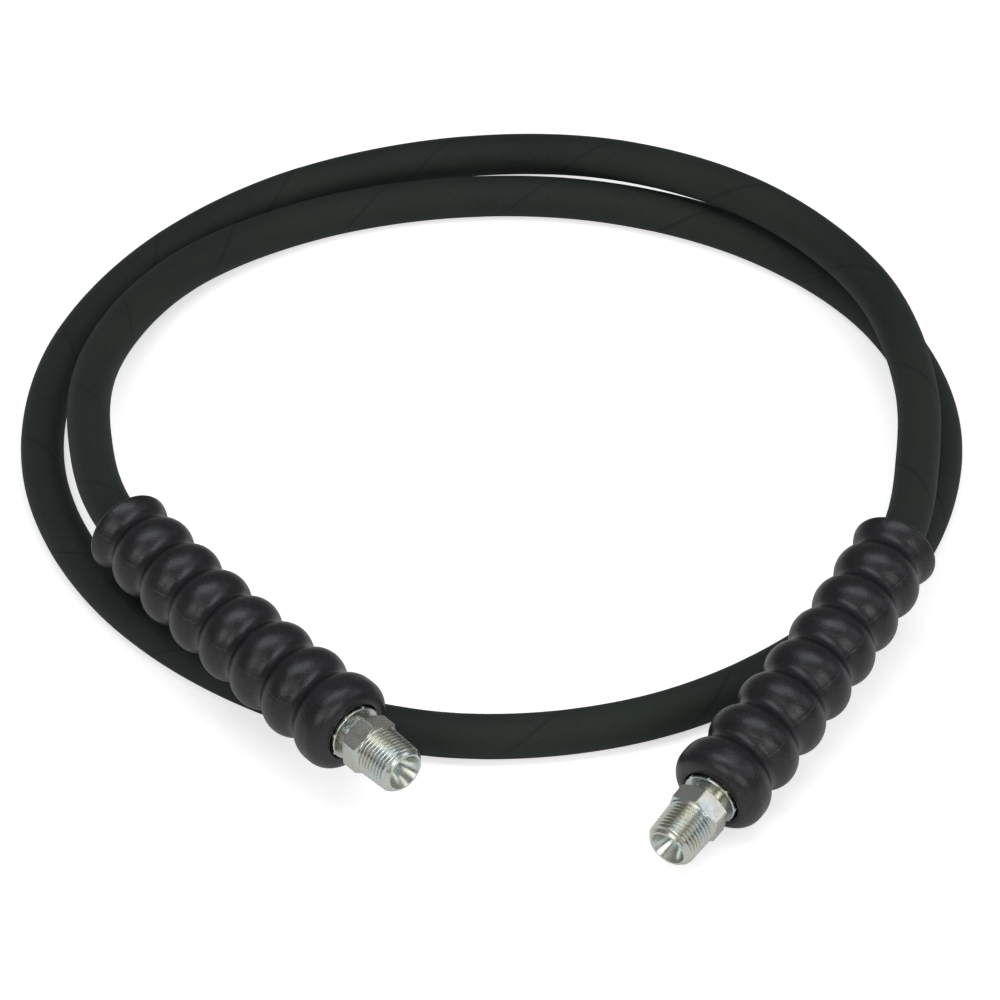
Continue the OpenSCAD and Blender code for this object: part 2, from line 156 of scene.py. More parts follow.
CORD_STEPS = 4                  # points of the path along the hose, computed as route, to each stretch


def aim(end, bends=0):
    """Direction towards a nose after so many bends, counted from the ferrule back."""
    azimuth = math.radians(AZIMUTH[end] + bends * TURN[end])
    rise = math.radians(RISE[end] + bends * LIFT[end])
    return np.array([
        math.cos(rise) * math.cos(azimuth),
        math.cos(rise) * math.sin(azimuth),
        math.sin(rise),
    ])


def on_end(end, back):
    """Point on the straight front of an end, so far back from its nose."""
    return NOSE[end] - back * aim(end)


def front_points(end):
    """The hose's cut end, and the middle of the ferrule round it."""
    return [on_end(end, HOSE_START), on_end(end, FERRULE_START + FERRULE_LEN / 2)]


def sleeve_points(end):
    """Middles of a sleeve's bends, and of its rear mouth."""
    points = [on_end(end, FIRST_VALLEY + BULGE_PITCH)]
    for bends in range(1, BULGES - 1):
        points.append(points[-1] - BULGE_PITCH * aim(end, bends))
    points.append(points[-1] - (MOUTH - LAST_VALLEY) * aim(end, BULGES - 1))
    return points


def smooth_line(points, start, finish, steps):
    """A smooth curve through points, from a start direction to a finish direction, with so
    many steps to each stretch."""
    points = np.array(points, float)
    stretch = np.diff(points, axis=0)
    length = np.linalg.norm(stretch, axis=1, keepdims=True)
    along = stretch / length
    slope = np.empty_like(points)
    slope[0], slope[-1] = start, finish
    slope[1:-1] = (along[:-1] * length[1:] + along[1:] * length[:-1]) / (length[:-1] + length[1:])
    line = []
    for i in range(len(stretch)):
        for t in np.arange(steps) / steps:
            line.append(
                points[i] * (2 * t**3 - 3 * t**2 + 1)
                + slope[i] * length[i] * (t**3 - 2 * t**2 + t)
                + points[i + 1] * (3 * t**2 - 2 * t**3)
                + slope[i + 1] * length[i] * (t**3 - t**2)
            )
    line.append(points[-1])
    return np.array(line)


def hose_line(steps):
    """The hose's centreline, from its cut end in ferrule A to the one in ferrule B."""
    loose = [
        from_middle(angle, beyond * 2 * HOSE_R, over * 2 * HOSE_R)
        for angle, beyond, over in LOOSE_ROUTE
    ]
    end_a = front_points(A) + sleeve_points(A)
    end_b = front_points(B) + sleeve_points(B)
    return smooth_line(end_a + loose + end_b[::-1], -aim(A), aim(B), steps)


def frames(line):
    """Level sideways direction and upward direction, both square to a line, at its points."""
    along = np.gradient(line, axis=0)
    along /= np.linalg.norm(along, axis=1, keepdims=True)
    sideways = np.cross(along, [0, 0, 1.0])
    sideways /= np.linalg.norm(sideways, axis=1, keepdims=True)
    return sideways, np.cross(sideways, along)


def run_length(line):
    """Length along a line up to each of its points."""
    return np.concatenate([[0], np.cumsum(np.linalg.norm(np.diff(line, axis=0), axis=1))])


def placed_rows(end, s, r, theta):
    """Points round an end's axis, at distances back, radii and angles."""
    points = [NOSE[end]] + front_points(end) + sleeve_points(end)
    line = smooth_line(points, -aim(end), -aim(end, BULGES - 1), HOSE_STEPS)
    back = run_length(line)
    base, sideways, upward = [
        np.stack([np.interp(s, back, part[:, k]) for k in range(3)], -1)
        for part in (line, *frames(line))
    ]
    return base + r[..., None] * (
        np.cos(theta)[None, :, None] * sideways + np.sin(theta)[None, :, None] * upward
    )


# ---------------------------------------------------------------- meshes
SHARP_ANGLE = 32                # between faces, from which their edge is shaded sharp


def turns(count):
    """So many even angles round a circle, in radians."""
    return np.arange(count) / count * 2 * math.pi


def grid_object(name, rows, theta, run):
    """A closed mesh through closed rows of points, the last of which joins the first. The UV
    map holds the turn round a row, and the run along the rows in metres."""
    n, m = rows.shape[:2]
    row, column = np.arange(n)[:, None], np.arange(m)[None, :]
    next_row, next_column = (row + 1) % n, (column + 1) % m
    faces = np.stack([
        row * m + column, row * m + next_column, next_row * m + next_column, next_row * m + column
    ], -1).reshape(-1, 4)
    mesh = bpy.data.meshes.new(name)
    mesh.from_pydata(rows.reshape(-1, 3).tolist(), [], faces.tolist())
    turn = np.append(theta, theta[0] + 2 * math.pi) / (2 * math.pi)
    run = np.append(run, run[-1])
    u = np.stack([turn[column], turn[column + 1], turn[column + 1], turn[column]], -1)
    v = np.stack([run[row], run[row], run[row + 1], run[row + 1]], -1)
    u, v = np.broadcast_arrays(u, v)
    layer = mesh.uv_layers.new(name="turn_and_run")
    layer.data.foreach_set("uv", np.stack([u, v], -1).reshape(-1).astype(np.float32))
    mesh.validate()
    return finished_object(name, mesh)


def finished_object(name, mesh):
    """Links a mesh as an object, with its normals outwards, shaded smooth but for its edges."""
    work = bmesh.new()
    work.from_mesh(mesh)
    bmesh.ops.recalc_face_normals(work, faces=work.faces)
    if work.calc_volume(signed=True) < 0:
        bmesh.ops.reverse_faces(work, faces=work.faces)
    work.to_mesh(mesh)
    work.free()
    mesh.polygons.foreach_set("use_smooth", [True] * len(mesh.polygons))
    mesh.set_sharp_from_angle(angle=math.radians(SHARP_ANGLE))
    made = bpy.data.objects.new(name, mesh)
    bpy.context.scene.collection.objects.link(made)
    return made


def end_object(end, name, s, r, theta, outline):
    """A mesh round an end's axis, from rows of distances back and radii. The outline is the
    plain one that the UV map's run follows."""
    return grid_object(name, placed_rows(end, s, r, theta), theta, run_length(outline))


# ---------------------------------------------------------------- hose
COVER_SIDES = 56
LAYER_SIDES = 24
WRAP_PITCH = 62 * MM            # of the spiral step that the wrapping tape leaves
WRAP_STEP = 0.05 * MM           # height of the step
WRAP_WIDTH = 0.9 * MM           # over which the step falls


def hose_layer(name, inner_r, outer_r, sides, wrapped=False):
    """One layer of the hose, flattened where it would reach below the floor. The cover has
    the shallow spiral step that its wrapping tape leaves."""
    line = hose_line(HOSE_STEPS)
    sideways, upward = frames(line)
    run = run_length(line)
    theta = turns(sides)

    def skin(r):
        r = np.broadcast_to(r, (len(line), sides))[..., None]
        points = line[:, None] + r * (
            np.cos(theta)[None, :, None] * sideways[:, None]
            + np.sin(theta)[None, :, None] * upward[:, None]
        )
        points[..., 2] = np.maximum(points[..., 2], 0)
        return points

    outer = outer_r
    if wrapped:
        phase = (run[:, None] / WRAP_PITCH - theta[None, :] / (2 * math.pi)) % 1
        outer = outer_r - WRAP_STEP * np.clip(phase * WRAP_PITCH / WRAP_WIDTH, 0, 1) * (1 - phase)
    rows = np.concatenate([skin(outer), skin(inner_r)[::-1]])
    return grid_object(name, rows, theta, np.concatenate([run, run[::-1]]))


cover = hose_layer("hose_wrapped_cover", BRAID_2_R, HOSE_R, COVER_SIDES, wrapped=True)
inner_layers = {
    "outer_wire_braid": hose_layer("outer_wire_braid_layer", INTERLAYER_R, BRAID_2_R, LAYER_SIDES),
    "braid_interlayer": hose_layer("interlayer_rubber", BRAID_1_R, INTERLAYER_R, LAYER_SIDES),
    "inner_wire_braid": hose_layer("inner_wire_braid_layer", TUBE_R, BRAID_1_R, LAYER_SIDES),
    "inner_tube": hose_layer("inner_tube_rubber", BORE_R, TUBE_R, LAYER_SIDES),
}


# ---------------------------------------------------------------- stems
CONE_ROWS = 8
FACE_DIP = 0.02 * MM            # depth of a faint ring round the seat's mouth
DIP_INSIDE = 0.12 * MM          # its width within the seat's radius
DIP_OUTSIDE = 0.1 * MM          # its width beyond the seat's radius
NOSE_FACE_R = 6.75 * MM
NOSE_ROUND = 0.25 * MM
NOSE_ROWS = (0, 22, 45, 67)     # angles round the nose's edge
NOSE_SLOPE = 0.85               # of the thread's chamfer at the nose
RUNOUT_START = 12.9 * MM        # where the thread begins to fade out before the hexagon
RUNOUT_END = 13.8 * MM
THREAD_ROWS = 14                # to each pitch
THREAD_SHARPNESS = 0.96         # 0 for a sine wave, 1 for straight flanks and sharp crests
HEX_SOFT = 0.12 * MM            # how soft the hexagon's corners are
TURNED_SOFT = 0.1 * MM          # and the edges where they are turned off
# Angles of the columns round one side of the hexagon, from its middle.
HEX_SIDE = [-30, -29.2, -28.2, -26, -21, -15, -9, -3, 3, 9, 15, 21, 26, 28.2, 29.2]
LAST_COLUMN = 329.99            # a hundredth of a degree before the first one comes round
# Distances of the rows from each end of the hexagon.
CHAMFER_ROWS = np.array([0, 0.25, 0.5, 0.75, 1, 1.2, 1.5, 2.2]) * HEX_CHAMFER_LEN


def soft_min(a, b, soft):
    """The smaller of two radii, with the corner between them rounded."""
    h = np.clip(0.5 + 0.5 * (b - a) / soft, 0, 1)
    return b + (a - b) * h - soft * h * (1 - h)


def thread_rows(theta):
    """Distances back and radii of a right-hand tapered thread with rounded crests and roots, a
    row to each line along its helix. The thread starts in the nose's chamfer and runs out
    before the hexagon."""
    s_rows, r_rows = [], []
    cycles = int(THREAD_LEN / THREAD_PITCH) + 2
    for step in range(-2 * THREAD_ROWS, cycles * THREAD_ROWS):
        phase = 2 * math.pi * step / THREAD_ROWS
        wave = math.asin(THREAD_SHARPNESS * math.cos(phase)) / math.asin(THREAD_SHARPNESS)
        s = (step / THREAD_ROWS + theta / (2 * math.pi)) * THREAD_PITCH
        fade = np.clip((s - RUNOUT_START) / (RUNOUT_END - RUNOUT_START), 0, 1)
        s = np.clip(s, NOSE_ROUND, THREAD_LEN)
        crest = THREAD_NOSE_R + s * THREAD_TAPER
        r = crest - THREAD_DEPTH * (1 - fade) * (1 - wave) / 2
        lead_in = NOSE_FACE_R + NOSE_ROUND + (s - NOSE_ROUND) * NOSE_SLOPE
        s_rows.append(s)
        r_rows.append(np.minimum(r, lead_in))
    return s_rows, r_rows


def hex_radius(theta):
    """Radius of the hexagon, with its corners a little rounded, at angles from a flat's middle."""
    sixth = math.pi / 3
    near = (theta + sixth / 2) % sixth - sixth / 2
    beside = sixth - np.abs(near)
    return soft_min(HEX_HALF / np.cos(near), HEX_HALF / np.cos(beside), HEX_SOFT)


def hex_columns(turn):
    """Angles round a stem, closer together at the hexagon's corners. The last one nearly meets
    the first, because the thread's rows climb a whole pitch on their way round."""
    columns = [angle + 60 * k for k in range(6) for angle in HEX_SIDE] + [LAST_COLUMN]
    return np.radians(np.array(columns) + turn)


def stem(end, name):
    """A turned stem: cone seat, thread, hexagon, neck and tail, closed by its bore."""
    theta = hex_columns(STEM_TURN[end])
    even = np.ones_like(theta)
    s_rows, r_rows = [], []

    def add(s, r):
        s_rows.append(s * even)
        r_rows.append(r * even)

    # nose: cone seat, and a narrow rounded face before the thread's chamfer
    for t in np.linspace(0, 1, CONE_ROWS):
        add(SEAT_DEPTH * (1 - t), STEM_BORE_R + (SEAT_R - DIP_INSIDE - STEM_BORE_R) * t)
    add(FACE_DIP, SEAT_R)
    add(0, SEAT_R + DIP_OUTSIDE)
    for angle in NOSE_ROWS:
        turned = math.radians(angle)
        add(NOSE_ROUND * (1 - math.cos(turned)), NOSE_FACE_R + NOSE_ROUND * math.sin(turned))
    helix_s, helix_r = thread_rows(theta)
    s_rows += helix_s
    r_rows += helix_r

    # hexagon, with its corners turned off at both ends
    hex_r = hex_radius(theta - math.radians(STEM_TURN[end]))
    front_half = [(inward, inward) for inward in [*CHAMFER_ROWS, HEX_LEN / 2]]
    rear_half = [(inward, HEX_LEN - inward) for inward in CHAMFER_ROWS[::-1]]
    for inward, s in front_half + rear_half:
        turned = HEX_TURNED_R - HEX_CHAMFER * max(0, 1 - inward / HEX_CHAMFER_LEN)
        add(THREAD_LEN + s, soft_min(hex_r, turned, TURNED_SOFT))

    # neck and grooved tail
    add(THREAD_LEN + HEX_LEN, NECK_R)
    add(HOSE_START, NECK_R)
    add(HOSE_START, TAIL_R)
    barb = TAIL_LEN / (BARBS + 1)
    for k in range(1, BARBS + 1):
        add(HOSE_START + (k - 0.5) * barb, TAIL_R)
        add(HOSE_START + (k - 0.5) * barb, TAIL_R - BARB_DEPTH)
        add(HOSE_START + k * barb, TAIL_R)
    add(HOSE_START + TAIL_LEN, TAIL_R)
    add(HOSE_START + TAIL_LEN, STEM_BORE_R)
    s, r = np.array(s_rows), np.array(r_rows)
    return end_object(end, name, s, r, theta, np.stack([s.mean(1), r.mean(1)], -1))


stems = [stem(A, "stem_a_threaded"), stem(B, "stem_b_threaded")]


# ---------------------------------------------------------------- ferrules
FERRULE_COLUMNS = 192
FERRULE_MOUTH_R = NECK_R + 0.05 * MM
RIDGE_HALF = 0.7 * MM           # half of a ridge's width
RIDGE_ROWS = 6
RIDGE_FIRST_ROW = 2 * MM        # behind the front face
RIDGE_RUNOUT = 0.4 * MM         # over which the ridges fall off at their rear ends
# Angles round the front rim, and how much of their height the ridges have there.
RIM_ROWS = [(15, 0), (30, 0), (45, 0), (60, 0.2), (75, 0.85), (90, 1)]


def ferrule(end, name):
    """A crimped ferrule: a flat front with a rounded rim, and right behind it the ridges that
    the crimping dies leave between them."""
    theta = turns(FERRULE_COLUMNS)
    sector = 2 * math.pi / RIDGES
    off = np.abs((theta - math.radians(FERRULE_TURN[end])) % sector - sector / 2) * FERRULE_R
    ridge = np.clip(1 - (off / RIDGE_HALF) ** 2, 0, None) * RIDGE_HEIGHT
    rear = FERRULE_START + FERRULE_LEN
    ridge_rear = rear - RIDGE_STOP

    # distance back, radius, and how much of the ridges' height is on it
    outline = [
        (FERRULE_START, FERRULE_MOUTH_R, 0),
        (FERRULE_START, FERRULE_R - FERRULE_CHAMFER, 0),
    ]
    for angle, risen in RIM_ROWS:
        a = math.radians(angle)
        outline.append((
            FERRULE_START + FERRULE_CHAMFER * (1 - math.cos(a)),
            FERRULE_R - FERRULE_CHAMFER * (1 - math.sin(a)),
            risen,
        ))
    full = np.linspace(FERRULE_START + RIDGE_FIRST_ROW, ridge_rear - RIDGE_RUNOUT, RIDGE_ROWS)
    outline += [(s, FERRULE_R, 1) for s in full]
    outline += [
        (ridge_rear, FERRULE_R, 0),
        (rear - FERRULE_CHAMFER, FERRULE_R, 0),
        (rear, FERRULE_R - FERRULE_CHAMFER, 0),
        (rear, FERRULE_BORE_R, 0),
        (HOSE_START, FERRULE_BORE_R, 0),
        (HOSE_START, FERRULE_MOUTH_R, 0),
    ]
    outline = np.array(outline)
    s, r, risen = (part[:, None] * np.ones_like(theta) for part in outline.T)
    return end_object(end, name, s, r + risen * ridge, theta, outline[:, :2])


ferrules = [ferrule(A, "ferrule_a_crimped"), ferrule(B, "ferrule_b_crimped")]


# ---------------------------------------------------------------- sleeves
SLEEVE_COLUMNS = 112
BULGE_ROW = 0.8 * MM            # distance between the rows of the bulges
DOME_ROWS = np.linspace(4, 90, 14)      # angles round the front dome
VALLEY_ROUND = 4.0 * MM
PARTING = [(153, 333), (38, 218)]   # angles of the parting lines round each sleeve
PARTING_DEPTH = 0.07 * MM
PARTING_HALF = 0.2 * MM
PARTING_COLUMNS = (-1.2, -0.6, 0, 0.6, 1.2)     # in half widths of the line
GROOVE_ANGLE = 52               # of the fine groove round the rear bead
GROOVE_DEPTH = 0.2 * MM
BEAD_ROWS = (15, 30, 42, GROOVE_ANGLE, 62, 75, 90)      # angles round the bead
OPENING_DEPTH = 1.0 * MM        # of the first row inside the front opening
OPENING_EDGE = 0.25 * MM        # depth of the opening's broken edge
OPENING_EASE = 0.02 * MM        # by which the pocket is wider at that edge
MOUTH_EDGE_DEPTH = 0.25 * MM
MOUTH_EDGE_WIDTH = 0.3 * MM
BORE_STEP = 1.0 * MM            # over which the bore widens at each bend


def sleeve_drop(d):
    """How far the outside lies under the crowns, so far from the nearest crown."""
    half = BULGE_PITCH / 2
    reach = (half**2 + BULGE_HEIGHT**2) / (2 * BULGE_HEIGHT)
    bulge = reach - VALLEY_ROUND
    if d <= half * bulge / reach:
        return bulge - math.sqrt(bulge**2 - d**2)
    return BULGE_HEIGHT - VALLEY_ROUND + math.sqrt(max(0, VALLEY_ROUND**2 - (half - d) ** 2))


def crown_r(s):
    """Radius of the crowns at a distance back. It falls from the front one to the rear one."""
    i = np.clip((s - FIRST_CROWN) / BULGE_PITCH, 0, BULGES)
    return REAR_R + FRONT_SWELL * (1 - i / BULGES) ** 2


def sleeve_bore(end, bend):
    """Radius of the bore behind a bend, wide enough to slide straight back over the bent hose."""
    off = math.acos(min(1, float(aim(end) @ aim(end, bend))))
    return HOSE_R + SLEEVE_CLEAR + SLIDE_TRAVEL * math.sin(off)


def sleeve_outside():
    """Outline of the bulges, from the front one's crown to the rear bead."""
    points = []
    for s in np.arange(FIRST_CROWN, BEAD_START, BULGE_ROW):
        d = abs((s - FIRST_CROWN + BULGE_PITCH / 2) % BULGE_PITCH - BULGE_PITCH / 2)
        points.append((s, crown_r(s) - sleeve_drop(d)))
    return points


def sleeve_front():
    """Outline of the front, from inside its opening round the dome to the front crown."""
    front_r = crown_r(FIRST_CROWN)
    points = [
        (SLEEVE_START + OPENING_DEPTH, POCKET_R),
        (SLEEVE_START + OPENING_EDGE, POCKET_R + OPENING_EASE),
    ]
    for angle in DOME_ROWS:
        a = math.radians(angle)
        points.append((
            SLEEVE_START + FRONT_ROUND * (1 - math.cos(a)),
            front_r - FRONT_ROUND * (1 - math.sin(a)),
        ))
    return points + [(FIRST_CROWN - FRONT_FLAT / 2, front_r)]


def sleeve_rear(end):
    """Outline of the rear bead, the flared mouth, the bore and the ferrule's pocket."""
    bead_r = crown_r(BEAD_START) - sleeve_drop(BEAD_SHORT)
    points = [(BEAD_START, bead_r)]
    for angle in BEAD_ROWS:
        a = math.radians(angle)
        round_r = BEAD_ROUND - (GROOVE_DEPTH if angle == GROOVE_ANGLE else 0)
        points.append((
            BEAD_START + round_r * math.sin(a),
            bead_r - BEAD_ROUND + round_r * math.cos(a),
        ))
    last = sleeve_bore(end, BULGES)
    points += [
        (MOUTH, last + MOUTH_FLARE + MOUTH_EDGE_WIDTH),
        (MOUTH - MOUTH_EDGE_DEPTH, last + MOUTH_FLARE),
        (MOUTH - MOUTH_FLARE_LEN, last),
    ]
    for bend in range(BULGES, POCKET_BENDS, -1):
        r = sleeve_bore(end, bend)
        valley = FIRST_VALLEY + (bend - 1) * BULGE_PITCH
        points += [(valley + BORE_STEP, r), (valley, r)]
    return points + [(POCKET_END, sleeve_bore(end, POCKET_BENDS)), (POCKET_END, POCKET_R)]


def sleeve(end, name):
    """A moulded rubber sleeve: round bulges with filleted valleys, a domed front, a rear bead
    and the fine parting lines of its two-part mould."""
    parting = [math.radians(angle) for angle in PARTING[end]]
    extra = [p + k * PARTING_HALF / REAR_R for p in parting for k in PARTING_COLUMNS]
    theta = np.unique(np.round(np.concatenate([turns(SLEEVE_COLUMNS), extra]), 5))
    front, outside, rear = sleeve_front(), sleeve_outside(), sleeve_rear(end)
    outline = np.array(front + outside + rear)
    s, r = (part[:, None] * np.ones_like(theta) for part in outline.T)
    for p in parting:
        off = np.abs((theta - p + math.pi) % (2 * math.pi) - math.pi) * REAR_R
        line = PARTING_DEPTH * np.clip(1 - off / PARTING_HALF, 0, 1)
        r[len(front):len(front) + len(outside)] -= line
    return end_object(end, name, s, r, theta, outline)


sleeves = [sleeve(A, "bend_sleeve_a"), sleeve(B, "bend_sleeve_b")]


# ---------------------------------------------------------------- materials
MIX_FIRST, MIX_SECOND, MIX_RESULT = 6, 7, 2     # a mix node's colour inputs and output


def scene_colour(colour):
    """A screen colour, 0 to 255, as a scene colour. A node's output stays as it is."""
    if isinstance(colour, bpy.types.NodeSocket):
        return colour
    shares = [value / 255 for value in colour]
    return (*[v / 12.92 if v <= 0.04045 else ((v + 0.055) / 1.055) ** 2.4 for v in shares], 1)


class Nodes:
    """Builds the nodes of a material or of the world."""

    def __init__(self, owner):
        owner.use_nodes = True
        self.owner = owner
        self.tree = owner.node_tree

    def feed(self, socket, value):
        """Joins an input to a node's output, or gives it a value of its own."""
        if isinstance(value, bpy.types.NodeSocket):
            self.tree.links.new(value, socket)
        else:
            socket.default_value = value

    def node(self, kind, inputs=None, **settings):
        """Adds a node, with its inputs by name or number, and gives its outputs."""
        made = self.tree.nodes.new(kind)
        for key, value in settings.items():
            setattr(made, key, value)
        for key, value in (inputs or {}).items():
            self.feed(made.inputs[key], value)
        return made.outputs

    def math(self, operation, *values):
        """A math operation on values that are each a number or another node's output."""
        return self.node("ShaderNodeMath", dict(enumerate(values)), operation=operation)[0]


class Surface(Nodes):
    """Builds one of the object's materials round its principled shader."""

    def __init__(self, name, **inputs):
        super().__init__(bpy.data.materials.new(name))
        self.finish(**inputs)

    def finish(self, **inputs):
        """Sets or joins inputs of the principled shader, and gives the material."""
        shader = self.tree.nodes["Principled BSDF"]
        for key, value in inputs.items():
            self.feed(shader.inputs[key.replace("_", " ")], value)
        return self.owner

    def place(self):
        """The place in the object's own frame, in metres."""
        return self.node("ShaderNodeTexCoord")["Object"]

    def turn_and_run(self):
        """The turn round a piece, in whole turns, and the run along it in metres."""
        parts = self.node("ShaderNodeSeparateXYZ", {0: self.node("ShaderNodeTexCoord")["UV"]})
        return parts[0], parts[1]

    def noise(self, where, scale, detail=2, roughness=0.5):
        """Noise of 0 to 1. The scale is in grains to a unit of the place."""
        inputs = {"Vector": where, "Scale": scale, "Detail": detail, "Roughness": roughness}
        return self.node("ShaderNodeTexNoise", inputs)[0]

    def remap(self, value, low, high, at_low=0, at_high=1):
        """A value turned into another, evenly between two limits and level beyond them."""
        inputs = dict(enumerate((value, low, high, at_low, at_high)))
        return self.node("ShaderNodeMapRange", inputs)[0]

    def blend(self, share, first, second):
        """A mixture of two colours, with so much of the second."""
        inputs = {0: share, MIX_FIRST: scene_colour(first), MIX_SECOND: scene_colour(second)}
        return self.node("ShaderNodeMix", inputs, data_type="RGBA")[MIX_RESULT]

    def bump(self, height, depth, strength, after=None):
        """Normals of a height, on top of those of an earlier bump."""
        inputs = {"Height": height, "Distance": depth, "Strength": strength}
        if after is not None:
            inputs["Normal"] = after
        return self.node("ShaderNodeBump", inputs)[0]

    def crossed(self, around, along, join, factor):
        """Two sine waves that cross at an angle, joined by a math operation."""
        waves = [
            self.math("SINE", self.math("MULTIPLY", self.math(side, around, along), factor))
            for side in ("ADD", "SUBTRACT")
        ]
        return self.math(join, *waves)


COVER_DARK, COVER_PALE = (29, 36, 32), (38, 45, 40)
COVER_FLECK, COVER_MARK = (52, 59, 55), (14, 16, 16)
MARK_WIDTH = 0.045              # of the tape's spiral mark, as a share of its pitch
MARK_STRENGTH = 0.55
WEAVE_WIDTH = 0.55 * MM         # of one thread of the weave


def cover_rubber():
    """Wrapped hose cover: matte, with a green cast, the wrapping tape's spiral marks and its
    weave."""
    s = Surface("cover_rubber", Specular_IOR_Level=0.25)
    place = s.place()
    turn, run = s.turn_and_run()
    cloud = s.noise(place, scale=22, detail=3)
    speck = s.noise(place, scale=900)
    phase = s.math("FRACT", s.math("SUBTRACT", s.math("DIVIDE", run, WRAP_PITCH), turn))
    mark = s.remap(phase, 0, MARK_WIDTH, at_low=1, at_high=0)
    colour = s.blend(s.remap(cloud, 0.35, 0.65), COVER_DARK, COVER_PALE)
    colour = s.blend(s.remap(speck, 0.45, 0.75, at_high=0.2), colour, COVER_FLECK)
    colour = s.blend(s.math("MULTIPLY", mark, MARK_STRENGTH), colour, COVER_MARK)
    around = s.math("MULTIPLY", turn, 2 * math.pi * HOSE_R / WEAVE_WIDTH)
    along = s.math("DIVIDE", run, WEAVE_WIDTH)
    normal = s.bump(s.crossed(around, along, "MULTIPLY", math.pi), depth=0.02 * MM, strength=0.5)
    normal = s.bump(speck, depth=0.05 * MM, strength=0.5, after=normal)
    waves = s.noise(place, scale=160)
    normal = s.bump(waves, depth=0.15 * MM, strength=0.5, after=normal)
    rough = s.remap(cloud, 0.3, 0.7, at_low=0.62, at_high=0.78)
    return s.finish(Base_Color=colour, Roughness=rough, Normal=normal)


SLEEVE_DARK, SLEEVE_PALE = (14, 14, 16), (21, 21, 24)
SLEEVE_BLOOM, SLEEVE_SCUFF = (44, 44, 49), (54, 54, 60)


def sleeve_rubber():
    """Moulded sleeve: near black, semi-matte, with a fine mould grain and faint handling marks."""
    s = Surface("sleeve_rubber", Specular_IOR_Level=0.5)
    place = s.place()
    cloud = s.noise(place, scale=45, detail=4, roughness=0.6)
    grain = s.noise(place, scale=1500)
    mottle = s.noise(place, scale=1000, detail=3, roughness=0.65)
    bloom = s.noise(place, scale=240, detail=3)
    colour = s.blend(s.remap(cloud, 0.35, 0.68), SLEEVE_DARK, SLEEVE_PALE)
    colour = s.blend(s.remap(bloom, 0.5, 0.8, at_high=0.25), colour, SLEEVE_BLOOM)
    colour = s.blend(s.remap(mottle, 0.5, 0.7, at_high=0.4), colour, SLEEVE_SCUFF)
    normal = s.bump(grain, depth=0.10 * MM, strength=0.8)
    normal = s.bump(mottle, depth=0.10 * MM, strength=0.7, after=normal)
    normal = s.bump(bloom, depth=0.08 * MM, strength=0.3, after=normal)
    rough = s.remap(bloom, 0.3, 0.7, at_low=0.30, at_high=0.40)
    return s.finish(Base_Color=colour, Roughness=rough, Normal=normal)


ZINC_GREEN, ZINC_YELLOW, ZINC_DULL = (199, 208, 206), (203, 203, 190), (168, 175, 174)
TURNING_MARKS = 6000            # along the piece, to the metre
MARKS_ROUND = 3                 # to a turn


def plated_steel():
    """Turned steel under bright zinc: shine stretched across fine turning marks, a faint green
    and yellow cast, and dull patches."""
    s = Surface("plated_steel", Metallic=1, Anisotropic=0.3, Anisotropic_Rotation=0.25)
    place = s.place()
    turn, run = s.turn_and_run()
    tangent = s.node("ShaderNodeTangent", direction_type="UV_MAP", uv_map="turn_and_run")[0]
    cloud = s.noise(place, scale=130, detail=3)
    patch = s.noise(place, scale=420, detail=3)
    colour = s.blend(s.remap(cloud, 0.42, 0.58), ZINC_GREEN, ZINC_YELLOW)
    colour = s.blend(s.remap(patch, 0.5, 0.75, at_high=0.22), colour, ZINC_DULL)
    marks_place = s.node("ShaderNodeCombineXYZ", {
        "X": s.math("MULTIPLY", run, TURNING_MARKS),
        "Y": s.math("MULTIPLY", turn, MARKS_ROUND),
    })[0]
    marks = s.noise(marks_place, scale=1)
    normal = s.bump(marks, depth=0.006 * MM, strength=0.4)
    normal = s.bump(patch, depth=0.01 * MM, strength=0.08, after=normal)
    rough = s.remap(patch, 0.3, 0.7, at_low=0.20, at_high=0.32)
    return s.finish(Base_Color=colour, Roughness=rough, Normal=normal, Tangent=tangent)


# brass in painted shade for the hollows between the wires, and in painted highlight for their tops
BRASS_PAINTED_SHADE, BRASS_PAINTED_HIGHLIGHT = (96, 78, 46), (206, 182, 120)
BRAID_STRANDS = 24              # round the hose, each way
STRAND_PITCH = 2.6 * MM         # along the hose


def brassed_wire():
    """Braid of brass-coated steel wires, crossing at the braid angle, with painted shade in the
    hollows between the wires and a painted highlight on their tops.
    """
    s = Surface("brassed_wire", Metallic=1)
    turn, run = s.turn_and_run()
    around = s.math("MULTIPLY", turn, BRAID_STRANDS)
    along = s.math("DIVIDE", run, STRAND_PITCH)
    braid = s.crossed(around, along, "MAXIMUM", 2 * math.pi)
    # painted shade and highlight: the brass darkens where the wires dip and lightens on their tops,
    # following the braid's height
    colour = s.blend(s.remap(braid, -0.2, 0.9), BRASS_PAINTED_SHADE, BRASS_PAINTED_HIGHLIGHT)
    normal = s.bump(braid, depth=0.15 * MM, strength=0.8)
    rough = s.remap(braid, -1, 1, at_low=0.55, at_high=0.3)
    return s.finish(Base_Color=colour, Roughness=rough, Normal=normal)


TUBE_DARK, TUBE_PALE = (24, 25, 26), (38, 39, 40)


def tube_rubber():
    """Extruded rubber of the inner tube and the layer between the braids."""
    s = Surface("tube_rubber", Specular_IOR_Level=0.5)
    place = s.place()
    cloud = s.noise(place, scale=60, detail=3)
    colour = s.blend(s.remap(cloud, 0.3, 0.7), TUBE_DARK, TUBE_PALE)
    normal = s.bump(s.noise(place, scale=700), depth=0.04 * MM, strength=0.4)
    rough = s.remap(cloud, 0.3, 0.7, at_low=0.4, at_high=0.55)
    return s.finish(Base_Color=colour, Roughness=rough, Normal=normal)


MATERIALS = {
    "cover_rubber": cover_rubber(),
    "sleeve_rubber": sleeve_rubber(),
    "plated_steel": plated_steel(),
    "brassed_wire": brassed_wire(),
    "tube_rubber": tube_rubber(),
}


# ---------------------------------------------------------------- the pieces' bodies and nodes

